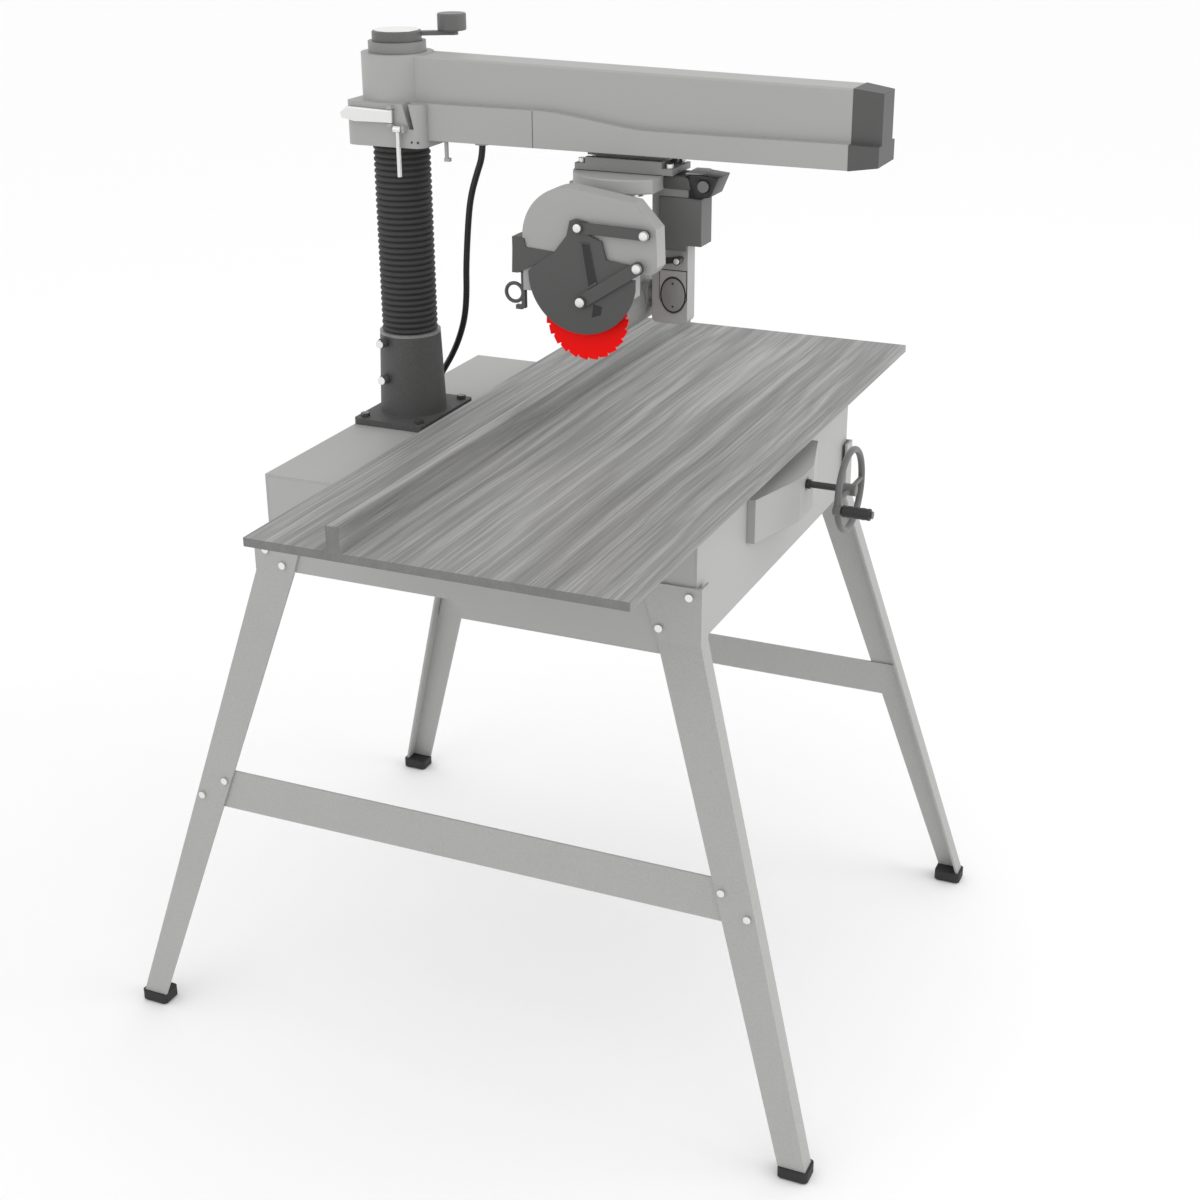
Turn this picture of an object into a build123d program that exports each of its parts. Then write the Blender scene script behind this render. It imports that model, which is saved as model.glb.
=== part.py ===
"""Radial arm saw on a splayed stand. Millimetres. +X is the operator's right, +Y runs back to the
column, +Z is up. The origin is on the floor at the centre of the four feet."""
from build123d import *
import math
import os

# ---- driving dimensions ----
sheet = 3.0                    # base sheet metal
leg_gauge = 4.0                # pressed leg angles
run_fit = 0.05                 # radial gap of a shaft in its bore
gap = 0.3                      # air between pieces that only pass each other

# table
table_top = 910.0
board_thick = 12.0
table_length = 1200.0
table_front = -358.0
table_back = 179.0
fence_front = 35.0
fence_thick = 20.0
fence_rise = 35.0

# base box
base_half = 332.0
base_front = -339.0
base_back = 322.0
deck_top = 889.0
front_beam_low = 735.0
rail_low = 743.0
rail_deep_low = 719.0
rail_step_y = 30.0
table_rail_x = 250.0
table_rail_wide = 44.0

# legs, from the foot up to the knee, then straight up the base's end
foot_x = 443.0
foot_out = 556.0
foot_in = 516.0
leg_end = 12.0
knee_z = 738.0
knee_out = 348.0
knee_in = 285.0
leg_top = {-1: 821.0, 1: 790.0}  # front legs, back legs
leg_lean = 0.318              # how far the inner edge moves along y for each mm of height
leg_lip = 27.0
leg_bolts = {-1: ((288.0, 757.0), (331.0, 808.0)), 1: ((301.0, 753.0), (328.0, 774.0))}
brace_low = 358.0
brace_high = 418.0
bolt_head_r = 5.5
bolt_head_t = 4.0
foot_high = 18.0
foot_wide = 45.0
foot_deep = 36.0

# column
column_y = 263.0
post_r = 30.0
post_wall = 6.0
post_top = 1300.0
sleeve_r = 35.0
sleeve_low = 1155.0
support_r = 46.5
support_foot_r = 51.5
support_top = 1021.0
support_plate = 83.0
support_plate_y = 60.0
support_plate_t = 10.0
key_bolt_heights = (956.0, 1013.0)
key_lug_r = 7.5
key_bolt_r = 6.0
bellows_r = 42.5
bellows_root = 38.5
bellows_wall = 1.2
bellows_top = 1306.0
bellows_folds = 32

# lifting gear
screw_z = 862.0                # height of the cross shaft
screw_r = 9.0
screw_top = 1290.0
screw_lead = 10.0              # rise of the arm for one turn
gear_teeth = 16
gear_heel = 20.0
gear_toe = 12.5
gear_root = 0.86
gear_tip = 1.10
tooth_half_angle = 4.6
hex_r = 4.0
shaft_r = 5.0
wheel_y = -444.0
wheel_r = 63.0
wheel_rim_r = 5.0
wheel_spokes = 2
spoke_r = 3.6
hub_r = 9.0
hub_long = 20.0
grip_r = 9.0
grip_long = 40.0
bracket_half = 140.0
bracket_nose = 31.0
bracket_step = 12.0
bracket_y = -380.0
bracket_low = 815.0
bracket_high = 880.0

# arm
arm_low = 1320.0
arm_half = 30.0
skirt_half = 42.0
skirt_high = 1372.0
skirt_end_high = 1354.0
skirt_s_back = 25.0
skirt_s_front = -157.0
arm_back_top = 1437.0
arm_front_top = 1424.0
arm_casting_end = -432.0
arm_cap_end = -472.0
head_r = 53.0
collar_half = 60.0
collar_back = 322.0
collar_front = 195.0
collar_low = 1310.0
ring_r = 42.0
ring_t = 15.0
cavity_half = 33.0
cavity_high = 1349.0
slot_half = 19.0
track_t = 4.0
ledge = 5.0
cavity_back = 100.0

# carriage
carriage_y = -107.0
roller_r = 8.5
roller_pitch = 45.0
roller_x = 26.0
roller_wide = 9.0
axle_r = 4.0
turret_r = 84.0
turret_low = 1273.0
turret_high = 1293.0
turret_flat = -163.0           # the turret's flat front, where the handle is
king_r = 10.0

# yoke and motor
bevel_z = 1119.0
arbor_z = 1109.0
arbor_y = -87.0
yoke_leg_half = 14.0
yoke_leg_front = -197.0
yoke_leg_back = -143.0
yoke_leg_low = 1081.0
rear_leg_front = -36.0
rear_leg_back = -20.0
trunnion_r = 12.0
motor_r = 47.0
motor_wall = 4.0
motor_left = -72.0
motor_right = 84.0
bell_long = 12.0
rotor_r = 27.0
arbor_r = 8.0
bearing_r = 17.0
blade_x = -118.0
blade_thick = 2.6
blade_r = 64.0
blade_teeth = 24
blade_gullet = 6.0
flange_r = 20.0
guard_x = -130.0
guard_in = -99.0
guard_wall = 3.0
guard_centre = (-68.0, 1216.0)
guard_r = 72.0
lower_guard_x = -136.0
lower_guard_t = 3.0
lower_guard_centre = (-88.0, 1168.0)
lower_guard_r = 81.0
link_t = 3.0
link_half = 7.5
link_pin_r = 4.0
link_play = 2.5                # loose hole where the four-bar is opened
upper_pivot = (-183.9, 1233.4)
upper_pin = (-85.2, 1236.1)
lower_pivot = (-173.5, 1188.1)
lower_pin = (-88.8, 1133.6)

# top crank
crank_r = 80.0
crank_angle = 30.0             # from straight ahead towards the operator's right
crank_disc_r = 36.0
crank_disc_t = 14.0
crank_knob_r = 21.0
crank_knob_t = 21.0

# cable
cable_r = 4.8
cable_y = 129.0                # where it leaves the arm
cable_deck = (100.0, 281.0)    # where it enters the base
latch_x = -collar_half - 0.5


# ---- helpers ----
def block(x0, x1, y0, y1, z0, z1):
    return Pos((x0 + x1) / 2, (y0 + y1) / 2, (z0 + z1) / 2) * Box(abs(x1 - x0), abs(y1 - y0), abs(z1 - z0))


def rod_z(x, y, z0, z1, r):
    return Pos(x, y, (z0 + z1) / 2) * Cylinder(r, abs(z1 - z0))


def rod_y(x, z, y0, y1, r):
    return Pos(x, (y0 + y1) / 2, z) * Rot(90, 0, 0) * Cylinder(r, abs(y1 - y0))


def rod_x(y, z, x0, x1, r):
    return Pos((x0 + x1) / 2, y, z) * Rot(0, 90, 0) * Cylinder(r, abs(x1 - x0))


def side_plate(points, x0, x1):
    """A flat plate from an outline of (y, z) points, between two x planes."""
    face = Plane.YZ * make_face(Polyline(*points, close=True))
    return Pos(x0, 0, 0) * extrude(face, x1 - x0)


def front_plate(points, y0, y1):
    """A flat plate from an outline of (x, z) points, between two y planes."""
    face = make_face(Polyline(*[(x, y0, z) for x, z in points], close=True))
    return extrude(face, y1 - y0, dir=(0, 1, 0))


def plan_plate(points, z0, z1):
    """A flat plate from an outline of (x, y) points, between two heights."""
    face = make_face(Polyline(*points, close=True))
    return Pos(0, 0, z0) * extrude(face, z1 - z0)


def save(name, *solids):
    shapes = []
    for s in solids:
        shapes.extend(s.solids())
    export_step(shapes[0] if len(shapes) == 1 else Compound(children=shapes), f"parts/{name}.step")
    print(name, len(shapes))


def bar_between(p, q, half, x0, x1):
    """A round-ended bar in a side plane, between two (y, z) points."""
    (y0, z0), (y1, z1) = p, q
    long = math.hypot(y1 - y0, z1 - z0)
    ty, tz = (y1 - y0) / long, (z1 - z0) / long
    outline = [(y0 - tz * half, z0 + ty * half), (y1 - tz * half, z1 + ty * half),
               (y1 + tz * half, z1 - ty * half), (y0 + tz * half, z0 - ty * half)]
    return side_plate(outline, x0, x1) + rod_x(y0, z0, x0, x1, half) + rod_x(y1, z1, x0, x1, half)


def cable(route):
    """A round cable along straight runs joined by tangent arcs."""
    points = [Vector(*p) for p in route]
    radii = []
    for a, b, c in zip(points, points[1:], points[2:]):
        bend = (b - a).get_angle(c - b)
        shorter = min((b - a).length, (c - b).length)
        radii.append(0.45 * shorter / math.tan(math.radians(bend) / 2))
    print("bend radii", [round(r) for r in radii])
    path = FilletPolyline(*points, radius=radii)
    start = Plane(points[0], z_dir=points[1] - points[0])
    return sweep(start * Circle(cable_r), path=path)


os.makedirs("parts", exist_ok=True)


# ---- stand ----
def leg_x(z):
    """Outer face of a leg below the knee."""
    return base_half + leg_gauge + (knee_z - z) / (knee_z - leg_end) * (foot_x - base_half - leg_gauge)


def leg_edge(z, knee, foot):
    return knee + (knee_z - z) / (knee_z - leg_end) * (foot - knee)


def leg_section(x, y_in, y_out, z, sx, sy):
    """The angle's section at one height: a wide flange along y and a narrow lip along x."""
    lip = x - leg_lip
    pts = [(x, y_in), (x, y_out), (lip, y_out), (lip, y_out - leg_gauge),
           (x - leg_gauge, y_out - leg_gauge), (x - leg_gauge, y_in)]
    return make_face(Polyline(*[(sx * px, sy * py, z) for px, py in pts], close=True))


def leg(sx, sy):
    foot = leg_section(foot_x, foot_in, foot_out, leg_end, sx, sy)
    knee = leg_section(base_half + leg_gauge, knee_in, knee_out, knee_z, sx, sy)
    low = loft([foot, knee], ruled=True)
    top_z = leg_top[sy]
    top = leg_section(base_half + leg_gauge, knee_in - leg_lean * (top_z - knee_z), knee_out, top_z, sx, sy)
    high = loft([knee, top], ruled=True)
    return low + high


corners = {"leg_front_left": (-1, -1), "leg_front_right": (1, -1),
           "leg_back_left": (-1, 1), "leg_back_right": (1, 1)}
legs = {name: leg(*side) for name, side in corners.items()}
feet = []
for name, (sx, sy) in corners.items():
    save(name, legs[name])
    cx, cy = sx * (foot_x - foot_deep / 2 + 3), sy * (foot_in + foot_out) / 2
    boot = Pos(cx, cy, foot_high / 2) * Box(foot_deep, foot_wide, foot_high)
    boot = fillet(boot.edges().filter_by(Axis.Z), 7)
    boot = chamfer(boot.faces().sort_by(Axis.Z)[0].edges(), 2)
    feet.append(boot - legs[name])
save("rubber_feet", *feet)


def brace(sx):
    """A flat bar with a folded lip that joins the two legs of one end."""
    face_x = leg_x((brace_low + brace_high) / 2) - leg_gauge
    lean = (leg_x(brace_low) - leg_x(brace_high)) / 2
    low_y = leg_edge(brace_low, knee_out, foot_out) - leg_gauge - 2
    high_y = leg_edge(brace_high, knee_out, foot_out) - leg_gauge - 2

    def section(z, x, y):
        pts = [(x - sheet, -y, z), (x, -y, z), (x, y, z), (x - sheet, y, z)]
        return make_face(Polyline(*[(sx * a, b, c) for a, b, c in pts], close=True))
    return loft([section(brace_low, face_x + lean - 0.05, low_y),
                 section(brace_high, face_x - lean - 0.05, high_y)], ruled=True)


save("end_braces", brace(-1), brace(1))

bolts = []
for sx in (-1, 1):
    for sy in (-1, 1):
        for y, z in leg_bolts[sy]:
            x = base_half + leg_gauge
            bolts.append(rod_x(sy * y, z, sx * x, sx * (x + bolt_head_t), bolt_head_r))
        for y, z in ((402.0, 402.0), (442.0, 372.0)):
            x = leg_x(z)
            bolts.append(rod_x(sy * y, z, sx * (x - 0.6), sx * (x + bolt_head_t), bolt_head_r)
                         - legs[[n for n, s in corners.items() if s == (sx, sy)][0]])
save("stand_bolts", *bolts)

# ---- base box ----
screw_hole = rod_z(0, column_y, deck_top - sheet - 1, deck_top + 1, screw_r + 6)
cx, cy = cable_deck
deck = block(-base_half, base_half, base_front, base_back, deck_top - sheet, deck_top) - screw_hole
deck += rod_z(cx, cy, deck_top, deck_top + 9, 11)
deck -= rod_z(cx, cy, deck_top - sheet - 1, deck_top + 10, cable_r + 2.5)
back_skirt = block(-base_half, base_half, base_back - sheet, base_back, rail_low, deck_top - sheet)
save("base_deck", deck + back_skirt)


def end_panel(sx):
    y0, y1 = base_front + sheet, base_back - sheet
    pts = [(y0, deck_top - sheet), (y0, rail_deep_low + 14), (y0 + 30, rail_deep_low),
           (rail_step_y - 25, rail_deep_low), (rail_step_y, rail_low), (y1, rail_low), (y1, deck_top - sheet)]
    return side_plate(pts, min(sx * base_half, sx * (base_half - sheet)), max(sx * base_half, sx * (base_half - sheet)))


save("end_panel_left", end_panel(-1))
save("end_panel_right", end_panel(1))
beam = block(-base_half, base_half, base_front, base_front + sheet, front_beam_low, deck_top - sheet)
beam += block(-base_half + sheet, base_half - sheet, base_front + sheet, base_front + 22, front_beam_low, front_beam_low + sheet)
beam -= rod_y(0, screw_z, base_front - 1, base_front + sheet + 1, shaft_r + 5)
save("front_beam", beam)

board_low = table_top - board_thick
save("table_rails", *[block(s * table_rail_x - table_rail_wide / 2, s * table_rail_x + table_rail_wide / 2,
                            base_front + 12, table_back - 14, deck_top, board_low) for s in (-1, 1)])
half_table = table_length / 2
front_board = block(-half_table, half_table, table_front, fence_front, board_low, table_top)
front_board = chamfer(front_board.faces().sort_by(Axis.Y)[0].edges(), 1)
save("front_board", front_board)
fence = block(-half_table, half_table, fence_front, fence_front + fence_thick, board_low, table_top + fence_rise)
save("fence", chamfer(fence.faces().sort_by(Axis.Z)[-1].edges(), 1))
save("rear_board", block(-half_table, half_table, fence_front + fence_thick, table_back, board_low, table_top))

# ---- column support, fixed post and the lifting gear ----
plate = block(-support_plate, support_plate, column_y - support_plate_y, column_y + support_plate_y,
              deck_top, deck_top + support_plate_t)
plate = fillet(plate.edges().filter_by(Axis.Z), 6)
barrel = Pos(0, column_y, (deck_top + support_top) / 2) * Cone(support_foot_r, support_r, support_top - deck_top)
lugs = []
for z in key_bolt_heights:
    lugs.append(rod_x(column_y + 20, z, -support_r - 8, -34, key_lug_r))
support = plate + barrel + lugs[0] + lugs[1]
support -= rod_z(0, column_y, deck_top - 1, support_top + 1, post_r)
save("column_support", support)
wiper = rod_z(0, column_y, support_top, support_top + 4, support_r) - rod_z(0, column_y, support_top - 1, support_top + 5, post_r + run_fit)
save("wiper_ring", wiper)
column_bolts = []
for sx in (-1, 1):
    for sy in (-1, 1):
        x, y = sx * (support_plate - 14), column_y + sy * (support_plate_y - 13)
        z = deck_top + support_plate_t
        column_bolts.append(Pos(x, y, z) * extrude(RegularPolygon(7, 6), 6))
for z in key_bolt_heights:
    column_bolts.append(rod_x(column_y + 20, z, -support_r - 15, -support_r - 8, key_bolt_r))
save("column_bolts", *column_bolts)
post = rod_z(0, column_y, deck_top, post_top, post_r) - rod_z(0, column_y, deck_top - 1, post_top + 1, post_r - post_wall)
save("inner_post", post)

wedge_half = math.radians(tooth_half_angle)


def mitre_gear(first_angle):
    """A bevel gear that points up from its apex at the origin, with one tooth at the first angle."""
    long = gear_heel - gear_toe
    middle = (gear_heel + gear_toe) / 2
    tip = Pos(0, 0, middle) * Cone(gear_toe * gear_tip, gear_heel * gear_tip, long)
    root = Pos(0, 0, middle) * Cone(gear_toe * gear_root, gear_heel * gear_root, long)
    reach = gear_heel * 2
    gear = root
    for n in range(gear_teeth):
        turn = math.radians(first_angle) + n * 2 * math.pi / gear_teeth
        pts = [(0, 0), (reach * math.cos(turn - wedge_half), reach * math.sin(turn - wedge_half)),
               (reach * math.cos(turn + wedge_half), reach * math.sin(turn + wedge_half))]
        tooth = plan_plate(pts, gear_toe, gear_heel) & tip
        gear = gear + tooth
    return gear + rod_z(0, 0, gear_heel, gear_heel + 3, 11)


screw_gear = Pos(0, column_y, screw_z) * mitre_gear(-90)
screw = screw_gear + rod_z(0, column_y, screw_z + gear_toe, screw_top, screw_r)
hex_bore = Pos(0, column_y, screw_z + gear_heel + 30) * extrude(RegularPolygon(hex_r + 0.3, 6), screw_top)
save("elevating_screw", screw - hex_bore)
half_pitch = 180 / gear_teeth
shaft_gear = Pos(0, column_y, screw_z) * Rot(90, 0, 0) * mitre_gear(90 + half_pitch)
cross_shaft = shaft_gear + rod_y(0, screw_z, wheel_y - 8, column_y - gear_toe, shaft_r)
cross_shaft += rod_y(0, screw_z, -386, -380.5, shaft_r + 2)
save("cross_shaft", cross_shaft)

bracket = plan_plate([(-bracket_half, base_front), (-bracket_half, base_front - bracket_step), (-bracket_nose, bracket_y),
                      (bracket_nose, bracket_y), (bracket_half, base_front - bracket_step),
                      (bracket_half, base_front)], bracket_low, bracket_high)
bracket -= plan_plate([(-bracket_half + 16, base_front + 1), (-bracket_nose + 1, bracket_y + sheet),
                       (bracket_nose - 1, bracket_y + sheet), (bracket_half - 16, base_front + 1)],
                      bracket_low + sheet, bracket_high - sheet)
bracket -= rod_y(0, screw_z, bracket_y - 1, bracket_y + sheet + 1, shaft_r + 5)
save("shaft_bracket", bracket)
bearings = [rod_y(0, screw_z, bracket_y, bracket_y + 14, shaft_r + 5)
            - rod_y(0, screw_z, bracket_y - 1, bracket_y + 15, shaft_r + run_fit)]
hanger = block(-16, 16, 196, 210, screw_z - 14, deck_top - sheet) - rod_y(0, screw_z, 195, 211, shaft_r + run_fit)
bearings.append(hanger)
thrust = rod_z(0, column_y, deck_top - sheet, deck_top, screw_r + 6) + rod_z(0, column_y, deck_top, deck_top + 12, post_r - post_wall)
bearings.append(thrust - rod_z(0, column_y, deck_top - 10, deck_top + 20, screw_r + run_fit))
save("shaft_bearings", *bearings)

# ---- handwheel ----
wheel_mid_r = wheel_r - wheel_rim_r
wheel = Cylinder(hub_r, hub_long)
for n in range(wheel_spokes):
    wheel += Rot(0, 0, 360 / wheel_spokes * n) * Pos(wheel_mid_r / 2, 0, 0) * Rot(0, 90, 0) \
        * Cylinder(spoke_r, wheel_mid_r)
rim_section = Plane.XZ * Pos(wheel_mid_r, 0) * Rot(0, 0, 15) * RegularPolygon(wheel_rim_r * 1.035, 12)
wheel += revolve(rim_section, Axis.Z)
wheel = Pos(0, wheel_y, screw_z) * Rot(90, 0, 0) * wheel
grip_angle = math.radians(-168)
grip_x = wheel_mid_r * math.cos(grip_angle)
grip_z = screw_z + wheel_mid_r * math.sin(grip_angle)
wheel += rod_y(grip_x, grip_z, wheel_y - 6, wheel_y + 6, 8)
wheel += rod_y(grip_x, grip_z, wheel_y - grip_long - 12, wheel_y - 6, 3.5)
wheel += rod_y(grip_x, grip_z, wheel_y - grip_long - 12, wheel_y - grip_long - 10, 5.5)
wheel -= rod_y(0, screw_z, wheel_y - 8, wheel_y + 12, shaft_r)
save("handwheel", wheel)
grip = rod_y(grip_x, grip_z, wheel_y - grip_long - 9, wheel_y - 7, grip_r) - rod_y(grip_x, grip_z, wheel_y - 70, wheel_y, 3.5 + run_fit)
save("handwheel_grip", grip)

# ---- moving sleeve, nut and bellows ----
sleeve = rod_z(0, column_y, sleeve_low, arm_back_top, sleeve_r) - rod_z(0, column_y, sleeve_low - 1, arm_back_top + 1, post_r + run_fit)
save("column_sleeve", sleeve)
ring_top = arm_back_top + gap + ring_t
nut_r = post_r - post_wall - 1
cap = rod_z(0, column_y, arm_back_top + gap, ring_top, ring_r)
cap += rod_z(0, column_y, arm_back_top, arm_back_top + gap, sleeve_r)
cap -= rod_z(0, column_y, arm_back_top - 1, ring_top + 1, screw_r + 1)
nut_low = 1160.0
nut = rod_z(0, column_y, nut_low, arm_back_top, nut_r - 4) + rod_z(0, column_y, nut_low, nut_low + 40, nut_r)
nut -= rod_z(0, column_y, nut_low - 1, nut_low + 41, screw_r + run_fit)
nut -= rod_z(0, column_y, nut_low + 40, arm_back_top + 1, screw_r + 1)
save("column_cap", cap + nut)

bellows_low = support_top + 4
pitch = (bellows_top - bellows_low) / bellows_folds
outer, inner = [], []
for n in range(bellows_folds):
    z = bellows_low + n * pitch
    outer += [(bellows_root, z), (bellows_r, z + pitch / 2)]
    inner += [(bellows_root - bellows_wall, z), (bellows_r - bellows_wall, z + pitch / 2)]
outer.append((bellows_root, bellows_top))
inner.append((bellows_root - bellows_wall, bellows_top))
profile = make_face(Polyline(*[(r, 0, z) for r, z in outer + inner[::-1]], close=True))
bellows = Pos(0, column_y, 0) * revolve(profile, Axis.Z)
save("bellows", bellows)

# ---- arm ----
def s_curve(y):
    """Height of the skirt's top edge: high at the column, lower towards the end."""
    t = min(max((skirt_s_back - y) / (skirt_s_back - skirt_s_front), 0), 1)
    return skirt_high + (skirt_end_high - skirt_high) * (3 * t * t - 2 * t ** 3)


def arm_top(y):
    return arm_front_top + (y - arm_casting_end) / (column_y - arm_casting_end) * (arm_back_top - arm_front_top)


def skirt_face(y0, y1, low):
    """The skirt's side outline between two places along the arm."""
    steps = [skirt_s_back + (skirt_s_front - skirt_s_back) * n / 6 for n in range(7)]
    crest = Spline(*[(y, s_curve(y)) for y in steps], tangents=((-1, 0), (-1, 0)))
    edges = [Line((y1, low), (y1, skirt_high)), Line((y1, skirt_high), (skirt_s_back, skirt_high)), crest,
             Line((skirt_s_front, skirt_end_high), (y0, skirt_end_high)),
             Line((y0, skirt_end_high), (y0, low)), Line((y0, low), (y1, low))]
    return Plane.YZ * make_face(edges)


skirt = Pos(-skirt_half, 0, 0) * extrude(skirt_face(arm_casting_end, column_y, arm_low), 2 * skirt_half)
beam_side = [(arm_casting_end, arm_low + 10), (column_y, arm_low + 10), (column_y, arm_back_top),
             (arm_casting_end, arm_front_top)]
beam_box = side_plate(beam_side, -arm_half, arm_half)
beam_box = chamfer(beam_box.edges().filter_by(lambda e: e.center().Z > 1425 and abs(e.center().Y) < 200), 3)
head = rod_z(0, column_y, collar_low, arm_back_top, head_r)
collar = block(-collar_half, collar_half, collar_front, collar_back, collar_low, skirt_high)
collar = fillet(collar.edges().filter_by(Axis.Z), 16)
arm = beam_box + skirt + head + collar
arm -= rod_z(0, column_y, collar_low - 1, arm_back_top + 1, sleeve_r + run_fit)
arm -= block(-cavity_half, cavity_half, arm_casting_end - 1, cavity_back, arm_low + ledge, cavity_high)
arm -= block(-slot_half, slot_half, arm_casting_end - 1, cavity_back, arm_low - 1, arm_low + ledge + 1)
core = [(arm_casting_end - 1, cavity_high + 5), (cavity_back, cavity_high + 5), (cavity_back, arm_back_top - 8),
        (arm_casting_end - 1, arm_front_top - 6)]
arm -= side_plate(core, -arm_half + 5, arm_half - 5)
collar_slot = side_plate([(208, skirt_high - 35), (216, skirt_high - 35), (226, skirt_high + 1), (216, skirt_high + 1)],
                         -collar_half - 1, -sleeve_r - 4)
arm -= collar_slot
for y, z, thick in ((239.0, 1340.0, 5), (239.0, 1365.0, 5)):
    arm += block(latch_x - 8, -collar_half, y, y + 8, z, z + thick)
arm += rod_z(latch_x - 4.5, 243, 1340, 1370, 2.5)
arm += block(latch_x - 9, -collar_half, 219, 223.7, 1333, 1343)
arm += block(latch_x - 9, -collar_half, 236.3, 238.3, 1333, 1339.5)
arm += rod_y(latch_x - 7, 1338, 219, 238.3, 2.5)
arm += rod_z(0, cable_y, arm_low - 8, arm_low, 11) - rod_z(0, cable_y, arm_low - 9, arm_low + 1, cable_r + 3)
arm += rod_z(-30, 172, 1293, arm_low, 3) + block(-33, -27, 166, 175, 1290, 1295)
save("arm_casting", arm)


def cap_slice(y, grow, low, skirt_top, top):
    w, s = arm_half + grow, skirt_half + grow
    pts = [(-s, low - grow), (s, low - grow), (s, skirt_top), (w, skirt_top), (w, top + grow), (-w, top + grow),
           (-w, skirt_top), (-s, skirt_top)]
    return make_face(Polyline(*[(px, y, pz) for px, pz in pts], close=True))


cap_back = cap_slice(arm_casting_end, 0.5, arm_low, skirt_end_high, arm_front_top)
cap_front = cap_slice(arm_cap_end, -5, arm_low, skirt_end_high - 2, arm_front_top)
end_cap = loft([cap_back, cap_front], ruled=True)
save("arm_end_cap", end_cap)
track_side = (slot_half + 1, cavity_half - 1)
save("arm_tracks", *[block(s0, s1, arm_casting_end + 1, cavity_back - 1, arm_low + ledge, arm_low + ledge + track_t)
                     for s0, s1 in ((-track_side[1], -track_side[0]), track_side)])

# ---- carriage ----
roller_z = arm_low + ledge + track_t + roller_r + 0.05
truck = block(-16, 16, carriage_y - 62, carriage_y + 62, arm_low - 8, cavity_high - 1.5)
plate_low = turret_high + 1
truck_plate = block(-34, 34, carriage_y - 74, carriage_y + 74, plate_low, plate_low + 9)
truck += truck_plate + block(-16, 16, carriage_y - 50, carriage_y + 50, plate_low + 8, arm_low - 7)
truck += block(-34, -24, carriage_y - 58, carriage_y + 58, plate_low + 8, arm_low - 8)
truck += block(24, 34, carriage_y - 58, carriage_y + 58, plate_low + 8, arm_low - 8)
for s in (-1, 1):
    truck -= rod_x(carriage_y + s * roller_pitch, roller_z, -17, 17, axle_r + run_fit)
truck -= rod_z(0, carriage_y, plate_low - 1, cavity_high, king_r)
save("roller_truck", truck)
king = rod_z(0, carriage_y, turret_low - 8, plate_low + 20, king_r) + rod_z(0, carriage_y, turret_low - 16, turret_low - 8, king_r + 8)
plate_bolts = [rod_z(sx * 25, carriage_y + sy * 66, plate_low + 9, plate_low + 15, 5.5) for sx in (-1, 1) for sy in (-1, 1)]
save("truck_bolts", king, *plate_bolts)
for name, s in (("front_rollers", -1), ("rear_rollers", 1)):
    y = carriage_y + s * roller_pitch
    axle = rod_x(y, roller_z, -roller_x - roller_wide / 2 - 1, roller_x + roller_wide / 2 + 1, axle_r)
    for side in (-1, 1):
        axle += rod_x(y, roller_z, side * roller_x - roller_wide / 2, side * roller_x + roller_wide / 2, roller_r)
    save(name, axle)

# ---- yoke ----
turret = rod_z(0, carriage_y, turret_low, turret_high, turret_r)
turret = chamfer(turret.edges(), 1.5) - block(-turret_r, turret_r, carriage_y - turret_r - 1, turret_flat, turret_low - 1, turret_high + 1)
front_leg = block(-yoke_leg_half, yoke_leg_half, yoke_leg_front, yoke_leg_back, yoke_leg_low, turret_low + 1)
front_leg = fillet(front_leg.edges().filter_by(Axis.X).sort_by(Axis.Z)[:2], 8)
rear_leg = block(-24, 24, rear_leg_front, rear_leg_back, bevel_z - 26, turret_low + 1)
yoke = turret + front_leg + rear_leg
yoke -= rod_z(0, carriage_y, turret_low - 1, turret_high + 1, king_r + run_fit)
yoke -= rod_y(0, bevel_z, -192, rear_leg_back + 1, trunnion_r + run_fit)
save("yoke", yoke)
cover_y, cover_z = -176.0, 1123.0
cover = extrude(Plane((-yoke_leg_half, cover_y, cover_z), x_dir=(0, 1, 0), z_dir=(-1, 0, 0)) * Ellipse(17.5, 25.5), 3)
surround = side_plate([(-195, 1156), (-195, 1116), (-186, 1102), (-176, 1097), (-165, 1102), (-156, 1116), (-156, 1156)],
                      -yoke_leg_half - 1.5, -yoke_leg_half)
save("pivot_cover", surround + cover)
switch_box = block(-20, 20, -219, yoke_leg_front, 1196, 1262) + block(-20, -yoke_leg_half, yoke_leg_front, -156, 1188, 1262) \
    + block(yoke_leg_half, 20, yoke_leg_front, -156, 1188, 1262)
save("switch_box", switch_box)
handle = side_plate([(-233, 1266), (-245, 1294), (-216, 1298), (-195, 1298), (-195, 1293), (-163, 1293), (-163, 1274),
                     (-206.3, 1274), (-206.3, 1262.5), (-213, 1262.5)], -24, 24)
button_hole = rod_x(-223, 1281, -25, -17, 8 + gap)
handle -= button_hole
save("grip_handle", handle)
save("switch_button", rod_x(-223, 1281, -27, -20.5, 8))
lock_pin = (-188, 1176)
lock = rod_x(*lock_pin, -yoke_leg_half - 18, -yoke_leg_half, 3.5) + rod_x(*lock_pin, -yoke_leg_half - 20, -yoke_leg_half - 8, 5.5)
lock += bar_between(lock_pin, (-160, 1171), 4, -yoke_leg_half - 8, -yoke_leg_half - 3)
save("bevel_lock", Pos(-0.3, 0, 0) * lock)

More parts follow.
